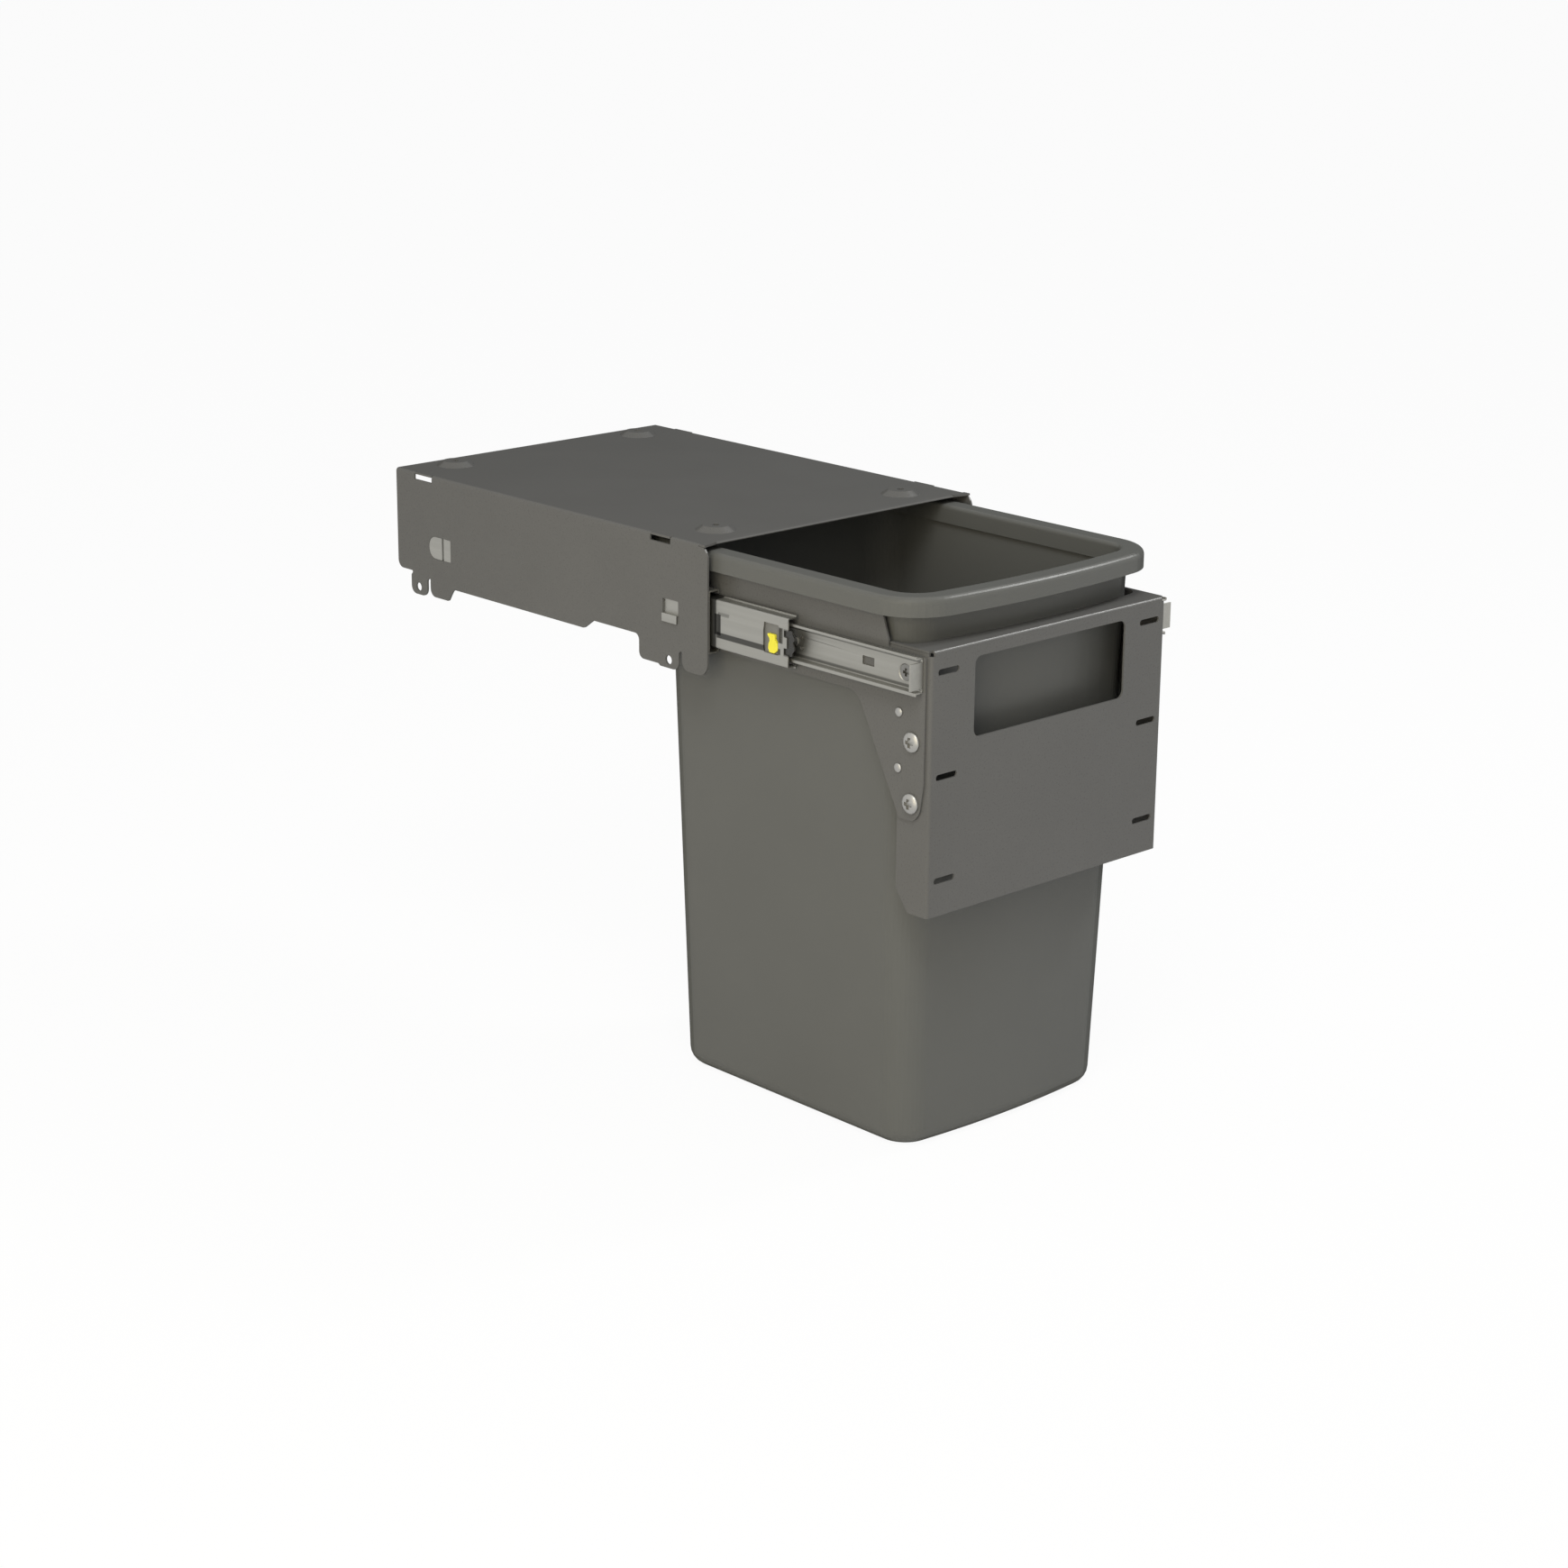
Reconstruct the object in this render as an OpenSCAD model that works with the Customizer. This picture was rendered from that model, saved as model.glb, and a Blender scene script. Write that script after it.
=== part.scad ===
// Pull out trash cabinet: a bucket on a carriage that runs on ball bearing slides in a folded steel housing.
// +X is right as seen from the front, +Y is back and +Z is up. The origin is the centre of the four screw
// holes in the top, on the plane where their bosses meet the board above.

/* [Housing] */
// Outside width of the housing
housing_w = 264; // [230:1:420]
// Depth of the top plate
housing_d = 350; // [330:1:420]
// Thickness of the housing's sheet
housing_t = 1.5; // [1:0.1:2.2]
// Inside radius of the fold between top and side
fold_r = 0.9; // [0.4:0.1:2]
// How far the sides stand ahead of the top plate
front_reach = 6; // [4:0.5:12]
// Depth of the sides at their ears
leg_drop = 95; // [88:0.5:120]
// Width of each ear with a screw hole
ear_w = 19.8; // [16:0.2:21]
// Hole in each ear
ear_hole_d = 6.6; // [4:0.1:8]
// Front ear hole, behind the top plate's front edge
ear_hole_y = 34.8; // [31:0.1:36]
// Rear ear hole, ahead of the top plate's back edge
ear_hole_back = 25.2; // [24:0.1:30]
// Ear holes, above the foot of the ears
ear_hole_up = 6; // [5:0.1:8]
// Width of the slit beside the front ear
front_slit = 3.4; // [1.5:0.1:4]
// Width of the slit beside the rear ear
rear_slit = 4; // [2:0.1:5]

/* [Top holes] */
// Distance across between the screw holes in the top
top_pitch_x = 184; // [150:1:200]
// Front screw holes, behind the front edge
top_hole_y = 30; // [25:0.5:36]
// Rear screw holes, ahead of the back edge
top_hole_back = 22; // [20:0.5:30]
// Screw holes in the top
top_hole_d = 5.5; // [4:0.1:8]
// Height of the raised boss round each hole
boss_h = 3.5; // [1.5:0.1:5]
// Diameter of the boss at its foot
boss_foot_d = 29; // [25:0.5:34]
// Diameter of the flat on top of the boss
boss_flat_d = 19; // [12:0.5:21]

/* [Slides] */
// Middle line of the slides, below the top face
slide_drop = 54.6; // [50:0.2:57]
// Thickness of a closed slide
slide_w = 12.7; // [12.4:0.1:14]
// Height of the outer member
outer_h = 45.5; // [45:0.1:47]
// Height of the middle member
middle_h = 35; // [34:0.1:35.6]
// Height of the inner member
inner_h = 24.6; // [23.6:0.1:25.4]
// Sheet of the outer and inner members
member_t = 1.2; // [1:0.05:1.3]
// Sheet of the middle member
middle_t = 1; // [0.8:0.05:1.2]
// How much shorter the middle member is than the outer one
middle_short = 30; // [30:1:50]
// How much shorter the inner member is than the outer one
inner_short = 13; // [12:1:40]
// Length of the outer ball cage
outer_cage_len = 155; // [120:1:160]
// Length of the inner ball cage
inner_cage_len = 114; // [90:1:114]
// Balls in each row of a cage
row_balls = 8; // [4:1:10]
// Clear gap between a ball and its track
ball_gap = 0.15; // [0.08:0.01:0.2]
// How far the carriage is pulled out of its closed place
pull_out = 195; // [0:5:300]

/* [Side plates] */
// Thickness of the side plates
plate_t = 1.5; // [1:0.1:2]
// Top edge of the side plates, below the housing's top face
plate_top = 8; // [7.9:0.1:12]
// Foot of the side plates' front tail, below the housing's top face
tail_drop = 157; // [150:0.5:175]
// Lower edge of the side plates behind the tail, below the housing's top face
plate_low = 77.3; // [76:0.1:82]

/* [Door bracket] */
// Thickness of the bracket's sheet
bracket_t = 1.5; // [1:0.1:2]
// Height of the bracket's panel
bracket_h = 184.9; // [170:0.5:240]
// Top of the bracket, below the housing's top face
bracket_drop = 38; // [37:0.2:42]
// Face of the closed bracket, ahead of the housing's top plate
bracket_reach = 13.6; // [12.6:0.2:18]
// Depth of the bracket's side flanges
bracket_d = 29.6; // [27:0.2:34]
// Width of the window
window_w = 150; // [100:1:160]
// Height of the window
window_h = 55.8; // [40:0.5:60]
// Corner radius of the window
window_r = 5.5; // [3:0.5:12]
// Top of the window, below the top of the bracket
window_down = 10; // [7:0.1:12]
// Length of the door slots
slot_len = 20; // [12:0.5:24]
// Width of the door slots
slot_w = 4.4; // [3.5:0.1:6]
// Distance across between the door slots
slot_pitch_x = 200.4; // [196:0.2:204]
// Distance between the door slots, up and down
slot_pitch_z = 72.4; // [65:0.2:76]
// First door slots, below the top of the bracket
slot_down = 15.1; // [12:0.1:18]

/* [Bucket] */
// Height of the bucket
bucket_h = 400.8; // [300:1:480]
// Depth of the bucket over its rim, front to back
bucket_d = 292.6; // [270:0.2:296]
// Bucket wall
wall = 2.2; // [1.6:0.1:3]
// Width of the rim, all round
rim_w = 17.3; // [16:0.1:19]
// Height of the rim's skirt
rim_h = 13.3; // [11:0.1:15]
// Radius of the rim's outer corners
rim_corner_r = 39; // [26:0.5:44]
// Radius of the bowed front and back of the rim
bow_r = 800; // [500:10:2000]
// Radius of the body's corners
body_corner_r = 25; // [20:0.5:32]
// Slope of the body's walls, in degrees
draft = 1.6; // [1:0.1:2.2]
// Radius round the bottom of the body
foot_r = 12; // [6:0.5:18]

/* [Fasteners] */
// Head of the bracket screws
screw_head_d = 14.2; // [12:0.1:16]
// Thread of the bracket screws
screw_d = 6; // [4:0.5:6]
// Head of the front screw in each inner member
small_head_d = 11; // [9:0.1:12]
// Head of the locating pins
pin_head_d = 6.5; // [5:0.1:7.5]
// Shank of the rivets and pins
rivet_d = 4; // [3:0.1:4.5]

/* [Hidden] */

painted = "#605f5b";
plastic = "#63625d";
steel = "#a3a19a";
cage_steel = "#8d8b85";
guide_grey = "#6b6a66";
lever_yellow = "#f0e840";
black = "#262626";

// How far cutting shapes overrun what they cut
over = 1;
// Gap between pieces that touch or slide on each other
seat_gap = 0.2;
// Gap at a stop when the carriage is closed
stop_gap = 0.4;
// Clearance round a shank in its hole
hole_gap = 0.1;
// Segments in a rounded corner of sheet
arc_steps = 6;
// Segments round a turned piece
turned = 48;

// Lengths that follow the depth of the top plate
outer_len = housing_d;
middle_len = outer_len - middle_short;
inner_len = outer_len - inner_short;
ear_pitch = housing_d - ear_hole_y - ear_hole_back;
top_pitch_y = housing_d - top_hole_y - top_hole_back;
// Full pull out of the carriage
travel = outer_len;

// Places across, measured out from the middle
half_w = housing_w / 2;
housing_in = half_w - housing_t;
plate_x = housing_in - slide_w;
flange_x = plate_x - plate_t;
// Shares of the pull out that each moving piece makes
middle_share = 0.5;
outer_cage_share = 0.25;
inner_cage_share = 0.75;

function unit(v) = v / norm(v);
function flat(lists) = [for (list = lists) each list];
// A corner b between a and c, rounded with radius r as far as its edges allow
function corner(a, b, c, r) =
    let (to_a = unit(a - b), to_c = unit(c - b), half = acos(to_a * to_c) / 2)
    let (reach = min(r / tan(half), norm(a - b) / 2, norm(c - b) / 2), fit_r = reach * tan(half))
    let (centre = b + unit(to_a + to_c) * fit_r / sin(half), p = b + to_a * reach - centre)
    let (q = b + to_c * reach - centre, start = atan2(p.y, p.x))
    let (turn = (atan2(q.y, q.x) - start + 540) % 360 - 180)
    [for (i = [0 : arc_steps]) let (a = start + turn * i / arc_steps) centre + fit_r * [cos(a), sin(a)]];
// An outline of [x, y] or [x, y, radius] points with its radii worked in
function rounded(pts) = flat([for (i = [0 : len(pts) - 1])
    let (n = len(pts), p = pts[i], a = pts[(i + n - 1) % n], c = pts[(i + 1) % n])
    is_undef(p[2]) || p[2] <= 0 ? [[p.x, p.y]] : corner([a.x, a.y], [p.x, p.y], [c.x, c.y], p[2])]);
function box_points(x0, x1, y0, y1, r) = [[x0, y0, r], [x1, y0, r], [x1, y1, r], [x0, y1, r]];

module shape(pts) polygon(rounded(pts));
module along_y(y0, y1) translate([0, y1, 0]) rotate([90, 0, 0]) linear_extrude(y1 - y0) children();
module along_x(x0, x1) translate([x0, 0, 0]) rotate([90, 0, 90]) linear_extrude(x1 - x0) children();
module block(lo, hi) translate(lo) cube(hi - lo);
module both_sides() {
    children();
    mirror([1, 0, 0]) children();
}
// A turned piece or a hole whose axis lies along X and which starts at x
module turned_x(x, y, z) translate([x, y, z]) rotate([0, 90, 0]) children();
// The model is drawn from the top plate's front edge and hung here from the bosses of its screw holes
module hung() translate([0, -top_hole_y - top_pitch_y / 2, -boss_h]) children();
// The left slide's own place: X counts in from the housing's inner face, Z from the slide's middle line
module in_slide() translate([-housing_in, 0, -slide_drop]) children();
module pulled(share = 1) translate([0, -pull_out * share, 0]) children();

// Housing

// Levels of the side's lower edge, as shares of the leg's depth
tongue_share = 0.985;
belly_share = 0.88;
slit_share = 0.832;
slit_low_share = 0.865;
heel_share = 0.815;
shoulder_share = 0.85;
rise_share = 0.8;
// Stations of the side's lower edge between the ear holes, as shares of their distance
rise_front_share = 0.11;
rise_back_share = 0.283;
belly_front_share = 0.32;
belly_back_share = 0.851;
tongue_back_share = 0.873;
// Share of an ear's width that lies ahead of its hole
ear_front_share = 0.54;
// How far the rear ears' necks are cut in behind
ear_neck_in = 3;
leg_corner_r = 9;
top_corner_r = 10;
ear_corner_r = 6;
step_r = 5;
slit_r = 1;
heel_r = 2;
// The fold starts here behind the front edge, and the flat tips ahead of it stand out to the corners
fold_start = 3.4;
tip_reach = 3.2;
tip_w = 14;
fold_slot_in = 3;
tab_slot_h = 5.5;
tab_slot_len = 21.5;
front_tab_y = 33;
rear_tab_from_back = 44;
tab_gap = 0.8;
// Width of the ring at the foot of each boss
boss_ring = 1;
// Windows that show the slides, measured from the slide's middle line and the ear holes
window_edge_r = 0.8;
front_window_ahead = 10.1;
front_window_len = 16.6;
front_window_up = 9.6;
front_window_down = 2.1;
rear_window_ahead = 40.4;
rear_window_len = 26.6;
rear_window_up = 8.4;
rear_window_down = 9;
rear_window_r = 8;
rear_ear_y = ear_hole_y + ear_pitch;
front_window_y = ear_hole_y - front_window_ahead;
rear_window_y = rear_ear_y - rear_window_ahead;

function station(share) = ear_hole_y + ear_pitch * share;
function ear_front(hole_y) = hole_y - ear_w * ear_front_share;
function ear_back(hole_y) = hole_y + ear_w * (1 - ear_front_share);
// The housing's side as [y, z, radius], from its top round the back and along its lower edge to the front
side_points = [
    [-front_reach, 0, top_corner_r], [housing_d, 0],
    [housing_d, -leg_drop * heel_share, ear_corner_r],
    [ear_back(rear_ear_y) - ear_neck_in, -leg_drop * heel_share, slit_r],
    [ear_back(rear_ear_y), -leg_drop * shoulder_share, heel_r],
    [ear_back(rear_ear_y), -leg_drop, ear_corner_r], [ear_front(rear_ear_y), -leg_drop, ear_corner_r],
    [ear_front(rear_ear_y), -leg_drop * slit_low_share, slit_r],
    [ear_front(rear_ear_y) - rear_slit, -leg_drop * slit_share, slit_r],
    [ear_front(rear_ear_y) - rear_slit, -leg_drop * tongue_share, ear_corner_r],
    [station(tongue_back_share), -leg_drop * tongue_share, heel_r],
    [station(belly_back_share), -leg_drop * belly_share, step_r],
    [station(belly_front_share), -leg_drop * belly_share, step_r],
    [station(rise_back_share), -leg_drop * rise_share, heel_r],
    [station(rise_front_share), -leg_drop * rise_share, step_r],
    [station(rise_front_share), -leg_drop * tongue_share, step_r],
    [ear_back(ear_hole_y) + heel_r, -leg_drop * tongue_share], [ear_back(ear_hole_y), -leg_drop, heel_r],
    [ear_front(ear_hole_y), -leg_drop, ear_corner_r],
    [ear_front(ear_hole_y), -leg_drop * slit_low_share, slit_r],
    [ear_front(ear_hole_y) - front_slit, -leg_drop * slit_share, slit_r],
    [ear_front(ear_hole_y) - front_slit, -leg_drop * tongue_share, leg_corner_r],
    [-front_reach, -leg_drop * tongue_share, leg_corner_r]];

module housing_section() shape([
    [-half_w, 0, housing_t + fold_r], [half_w, 0, housing_t + fold_r], [half_w, -leg_drop - over],
    [housing_in, -leg_drop - over], [housing_in, -housing_t, fold_r], [-housing_in, -housing_t, fold_r],
    [-housing_in, -leg_drop - over], [-half_w, -leg_drop - over]]);

// A raised cone of sheet with the screw hole in its flat top
module top_boss() rotate_extrude($fn = turned) polygon([
    [top_hole_d / 2, boss_h], [boss_flat_d / 2, boss_h], [boss_foot_d / 2, 0], [boss_foot_d / 2, -housing_t],
    [boss_foot_d / 2 - boss_ring, -housing_t], [boss_flat_d / 2 - boss_ring, boss_h - housing_t],
    [top_hole_d / 2, boss_h - housing_t]]);

module at_top_holes() for (x = [-1, 1], y = [0, 1])
    translate([x * top_pitch_x / 2, top_hole_y + y * top_pitch_y, 0]) children();

module fold_slot(y0, y1, depth) block([half_w - fold_slot_in, y0, -depth], [half_w + over, y1, over]);
module flat_tab(y) block([half_w - fold_slot_in - over, y + tab_gap, -housing_t],
    [half_w - seat_gap, y + tab_slot_len - tab_gap, 0]);
module front_tip() translate([0, 0, -housing_t]) linear_extrude(housing_t) polygon([
    [half_w - tip_w, 0], [half_w - seat_gap, -tip_reach], [half_w - seat_gap, fold_start - tab_gap],
    [half_w - fold_slot_in - over, fold_start], [half_w - tip_w, fold_start]]);

// Outline of the rear window, drawn in by a gap
function rear_window_points(gap) = [[rear_window_y + gap, gap - rear_window_down, window_edge_r],
    [rear_window_y + rear_window_len - gap, gap - rear_window_down, rear_window_r - gap],
    [rear_window_y + rear_window_len - gap, rear_window_up - gap, rear_window_r - gap],
    [rear_window_y + gap, rear_window_up - gap, window_edge_r]];
module slide_windows() translate([0, -slide_drop]) {
    shape(box_points(front_window_y, front_window_y + front_window_len,
        -front_window_down, front_window_up, window_edge_r));
    shape(rear_window_points(0));
}

module housing_cover() color(painted) {
    rear_tab_y = housing_d - rear_tab_from_back;
    difference() {
        intersection() {
            along_y(-front_reach, housing_d) housing_section();
            along_x(-half_w - over, half_w + over) shape(side_points);
        }
        block([-housing_in, -front_reach - over, -housing_t - fold_r - over], [housing_in, 0, over]);
        both_sides() {
            fold_slot(front_tab_y, front_tab_y + tab_slot_len, tab_slot_h);
            fold_slot(rear_tab_y, rear_tab_y + tab_slot_len, tab_slot_h);
            fold_slot(-front_reach - over, fold_start, housing_t + seat_gap);
        }
        at_top_holes() translate([0, 0, -housing_t - over])
            cylinder(d = boss_foot_d - boss_ring, h = housing_t + 2 * over, $fn = turned);
        for (y = [ear_hole_y, rear_ear_y])
            turned_x(-half_w - over, y, ear_hole_up - leg_drop)
                cylinder(d = ear_hole_d, h = housing_w + 2 * over, $fn = turned);
        along_x(-half_w - over, half_w + over) slide_windows();
    }
    at_top_holes() top_boss();
    both_sides() {
        flat_tab(front_tab_y);
        flat_tab(rear_tab_y);
        front_tip();
    }
}

// Slides

// Depths of the members' edges, measured in from the housing
outer_reach = 9.8;
middle_web = 2.1;
middle_reach = 10.5;
inner_reach = 5.2;
outer_lip = 1.55;
middle_lip = 1.1;
inner_lip = 1.1;
bend_r = 0.5;
cage_t = 0.45;
outer_ball_u = 6;
inner_ball_u = 8.4;
inner_cage_u = 3.5;
cage_edge = 0.5;
outer_ball_d = outer_h / 2 - member_t - middle_h / 2 - 2 * ball_gap;
inner_ball_d = middle_h / 2 - middle_t - inner_h / 2 - 2 * ball_gap;
outer_ball_v = (outer_h / 2 - member_t + middle_h / 2) / 2;
inner_ball_v = (middle_h / 2 - middle_t + inner_h / 2) / 2;
outer_cage_u = (member_t + middle_web - cage_t) / 2;
// The front hook of the outer member laps over the housing's face below the front window
front_hook_len = 15.6;
front_hook_h = 6;
// The pads that fill the rear window are set back from the housing's face, with a slit between them
pad_set_back = 0.2;
front_pad_len = 8.3;
pad_slit_len = 2.2;
// Rubber bumper at the back of the outer member
bumper_h = 16;
bumper_t = 7;
bumper_r = 3;
// Raised panel in the front of the middle member, measured back from its front end
panel_front = 8;
panel_back = 70.5;
panel_half_h = 9.2;
panel_slope = 3.7;
panel_rise = 0.7;
// Latch window, slot and notches in the front of the middle member
latch_front = 9.5;
latch_back = 24;
latch_up = 11;
latch_down = 10.2;
latch_edge_r = 0.6;
slot_front = 6.2;
slot_back = 8.4;
slot_up = 9.3;
slot_down_v = 1;
notch_back = 4;
notch_half_h = 8.6;
notch_tongue = 3.8;
notch_front = 1.3;
block_margin = 1.4;
block_t = 1.7;
block_pocket = 0.4;
// Lever in the latch window, which turns on its pin
lever_u = 1.6;
lever_t = 1.7;
lever_h = 13.1;
lever_w = 10.2;
lever_front = 9.7;
lever_up = 3.8;
lever_pin_d = 2.4;
lever_pin_back = 15.4;
lever_pin_up = 1.1;
pin_run = 0.05;
// Lever outline as shares of its width and height, from its front top corner round
lever_shares = [[0.28, 0], [0.3, 0.28], [0.19, 0.33], [0, 0.5], [0.02, 0.8], [0.36, 1], [0.8, 1],
    [0.93, 0.8], [0.9, 0.55], [0.79, 0.38], [0.83, 0.24], [1, 0.1], [1, 0]];
lever_r = 0.9;
// Guide at the mouth of the middle member
guide_reach = 5.2;
guide_back = 5;
guide_t = 1;
guide_half_h = 9;
guide_waist = 3.2;
guide_bump = 4.4;
guide_r = 1.2;
// Tab at the front end of the inner member, hole for the latch and pair of small holes behind it
end_tab_h = 18.2;
end_tab_reach = 12.2;
inner_set_back = 6.2;
latch_hole_y = 44.6;
latch_hole_len = 11.1;
latch_hole_h = 6;
pair_y = 114.4;
pair_pitch = 7.8;
pair_d = 2.8;
// Screw and rivets that hold the inner member, measured back from its front end
member_screw_y = 15.4;
member_screw_down = 0.9;
member_rivet_shares = [0.36, 0.6, 0.83];
member_screw_d = 5;

// Closed places along Y of the slide members and cages
outer_y = -inner_set_back + stop_gap;
inner_y = inner_set_back - bracket_reach;
bumper_len = 10;
bumper_y = outer_y + outer_len - bumper_len;
middle_back = bumper_y - seat_gap - stop_gap;
middle_y = middle_back - middle_len;
cage_end_gap = 4;
outer_cage_y = middle_back - travel * (middle_share - outer_cage_share) - outer_cage_len - cage_end_gap;
inner_cage_y = middle_y + latch_back + block_margin + seat_gap + travel * (inner_cage_share - middle_share);

// Channel of bent strip from its web at u0 to its edges at u1, half as high as h, with lips that turn out
function lipped(u0, u1, h, t, lip) = let (turn = sign(u1 - u0)) [
    [u0, h, t + bend_r], [u0, -h, t + bend_r],
    [u1 - turn * t, -h, bend_r], [u1 - turn * t, -h - lip], [u1, -h - lip], [u1, -h + t, t + bend_r],
    [u0 + turn * t, -h + t, bend_r], [u0 + turn * t, h - t, bend_r],
    [u1, h - t, t + bend_r], [u1, h + lip], [u1 - turn * t, h + lip], [u1 - turn * t, h, bend_r]];
// The same with lips that turn in
function lipped_in(u0, u1, h, t, lip) = [
    [u0, h, t + bend_r], [u0, -h, t + bend_r], [u1, -h, t + bend_r],
    [u1, -h + t + lip], [u1 - t, -h + t + lip],
    [u1 - t, -h + t, bend_r], [u0 + t, -h + t, bend_r], [u0 + t, h - t, bend_r], [u1 - t, h - t, bend_r],
    [u1 - t, h - t - lip], [u1, h - t - lip], [u1, h, t + bend_r]];
function channel(u0, u1, h, t) = [
    [u0, h, t], [u0, -h, t], [u1, -h], [u1, -h + t],
    [u0 + t, -h + t], [u0 + t, h - t], [u1, h - t], [u1, h]];

module outer_member() color(steel) in_slide() {
    hook_y = front_window_y + 2 * seat_gap;
    hook_top = seat_gap + member_t - front_window_down;
    hook_face = -housing_t - seat_gap - member_t;
    slit_y = rear_window_y + seat_gap + front_pad_len;
    difference() {
        union() {
            along_y(outer_y, outer_y + outer_len)
                shape(lipped_in(0, outer_reach, outer_h / 2, member_t, outer_lip));
            along_x(pad_set_back - housing_t, member_t / 2) shape(rear_window_points(seat_gap));
        }
        block([-housing_t - over, slit_y, seat_gap - rear_window_down],
            [member_t + over, slit_y + pad_slit_len, rear_window_up - seat_gap]);
    }
    block([hook_face, hook_y, hook_top - member_t], [member_t / 2, hook_y + front_hook_len, hook_top]);
    block([hook_face, hook_y, hook_top - front_hook_h],
        [hook_face + member_t, hook_y + front_hook_len, hook_top]);
}

module rear_bumper() color(black) in_slide() along_x(member_t, member_t + bumper_t)
    shape(box_points(bumper_y, bumper_y + bumper_len, -bumper_h / 2, bumper_h / 2, bumper_r));

// Places of a cage's balls along Y, evenly spread over its length
function ball_places(y, len) = [for (i = [0 : row_balls - 1]) y + len * (i + 0.5) / row_balls];

module cage(y, len, u0, u1, ball_u, ball_v, ball_d) color(cage_steel) difference() {
    along_y(y, y + len) shape(channel(u0, u1, ball_v + cage_t / 2, cage_t));
    for (place = ball_places(y, len))
        translate([ball_u, place, -ball_v - over])
            cylinder(d = ball_d + 2 * hole_gap, h = 2 * (ball_v + over), $fn = turned);
}
module balls(y, len, ball_u, ball_v, ball_d) color(steel)
    for (place = ball_places(y, len), v = [-ball_v, ball_v])
        translate([ball_u, place, v]) sphere(d = ball_d, $fn = turned / 2);

module outer_cage() in_slide() pulled(outer_cage_share)
    cage(outer_cage_y, outer_cage_len, outer_cage_u, outer_ball_u + outer_ball_d / 2 + hole_gap + cage_edge,
        outer_ball_u, outer_ball_v, outer_ball_d);
module outer_balls() in_slide() pulled(outer_cage_share)
    balls(outer_cage_y, outer_cage_len, outer_ball_u, outer_ball_v, outer_ball_d);
module inner_cage() in_slide() pulled(inner_cage_share)
    cage(inner_cage_y, inner_cage_len, inner_cage_u, inner_ball_u + inner_ball_d / 2 + hole_gap + cage_edge,
        inner_ball_u, inner_ball_v, inner_ball_d);
module inner_balls() in_slide() pulled(inner_cage_share)
    balls(inner_cage_y, inner_cage_len, inner_ball_u, inner_ball_v, inner_ball_d);

// A slab of the raised panel: its foot and its face, each as a thin sheet
module panel_body(rise) hull() {
    block([middle_web, middle_y + panel_front, -panel_half_h],
        [middle_web + middle_t / 2, middle_y + panel_back, panel_half_h]);
    block([middle_web - rise, middle_y + panel_front + panel_slope, panel_slope - panel_half_h],
        [middle_web, middle_y + panel_back - panel_slope, panel_half_h - panel_slope]);
}
module front_cut(s0, s1, v0, v1, r) along_x(middle_web - panel_rise - over, middle_web + middle_t + over)
    shape(box_points(middle_y + s0, middle_y + s1, v0, v1, r));

module middle_member() color(steel) in_slide() pulled(middle_share) difference() {
    union() {
        along_y(middle_y, middle_back)
            shape(lipped(middle_web, middle_reach, middle_h / 2, middle_t, middle_lip));
        panel_body(panel_rise);
    }
    translate([middle_t, 0, 0]) panel_body(panel_rise);
    front_cut(latch_front, latch_back, -latch_down, latch_up, latch_edge_r);
    front_cut(slot_front, slot_back, -slot_down_v, slot_up, latch_edge_r);
    front_cut(-over, notch_back, notch_tongue, notch_half_h, latch_edge_r);
    front_cut(-over, notch_back, -notch_half_h, -notch_tongue, latch_edge_r);
    front_cut(-over, notch_front, -notch_half_h, notch_half_h, 0);
}

module latch_block() color(guide_grey) in_slide() pulled(middle_share) difference() {
    along_x(middle_web + middle_t, middle_web + middle_t + block_t)
        shape(box_points(middle_y + latch_front - block_margin, middle_y + latch_back + block_margin,
            -latch_down - block_margin, latch_up + block_margin, block_margin));
    along_x(middle_web + middle_t - over, middle_web + middle_t + block_pocket)
        shape(box_points(middle_y + latch_front, middle_y + latch_back,
            -latch_down, latch_up, latch_edge_r));
    at_lever_pin() cylinder(d = lever_pin_d + 2 * hole_gap, h = slide_w, $fn = turned);
}

module at_lever_pin() turned_x(lever_u - pin_run, middle_y + lever_pin_back, lever_pin_up) children();

module release_lever() color(lever_yellow) in_slide() pulled(middle_share) difference() {
    along_x(lever_u, lever_u + lever_t) shape([for (p = lever_shares)
        [middle_y + lever_front + lever_w * p.x, lever_up - lever_h * p.y, lever_r]]);
    translate([-over, 0, 0]) at_lever_pin()
        cylinder(d = lever_pin_d + 2 * pin_run, h = lever_t + 2 * over, $fn = turned);
}

module lever_pin() color(steel) in_slide() pulled(middle_share) at_lever_pin()
    cylinder(d = lever_pin_d, h = middle_web + middle_t + block_t - lever_u, $fn = turned);

module front_guide() color(guide_grey) in_slide() pulled(middle_share)
    along_x(middle_web + middle_t, middle_web + middle_t + guide_t) shape([
        [middle_y + guide_back, -guide_half_h], [middle_y + guide_back, guide_half_h],
        [middle_y - guide_waist, guide_half_h, guide_r],
        [middle_y - guide_waist, guide_half_h - guide_bump / 2, guide_r],
        [middle_y - guide_reach, guide_bump, guide_r], [middle_y - guide_reach, guide_bump / 2, guide_r],
        [middle_y - guide_waist, guide_r, guide_r], [middle_y - guide_reach, -guide_bump / 2, guide_r],
        [middle_y - guide_reach, -guide_bump, guide_r],
        [middle_y - guide_waist, guide_bump / 2 - guide_half_h, guide_r],
        [middle_y - guide_waist, -guide_half_h, guide_r]]);

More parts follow.
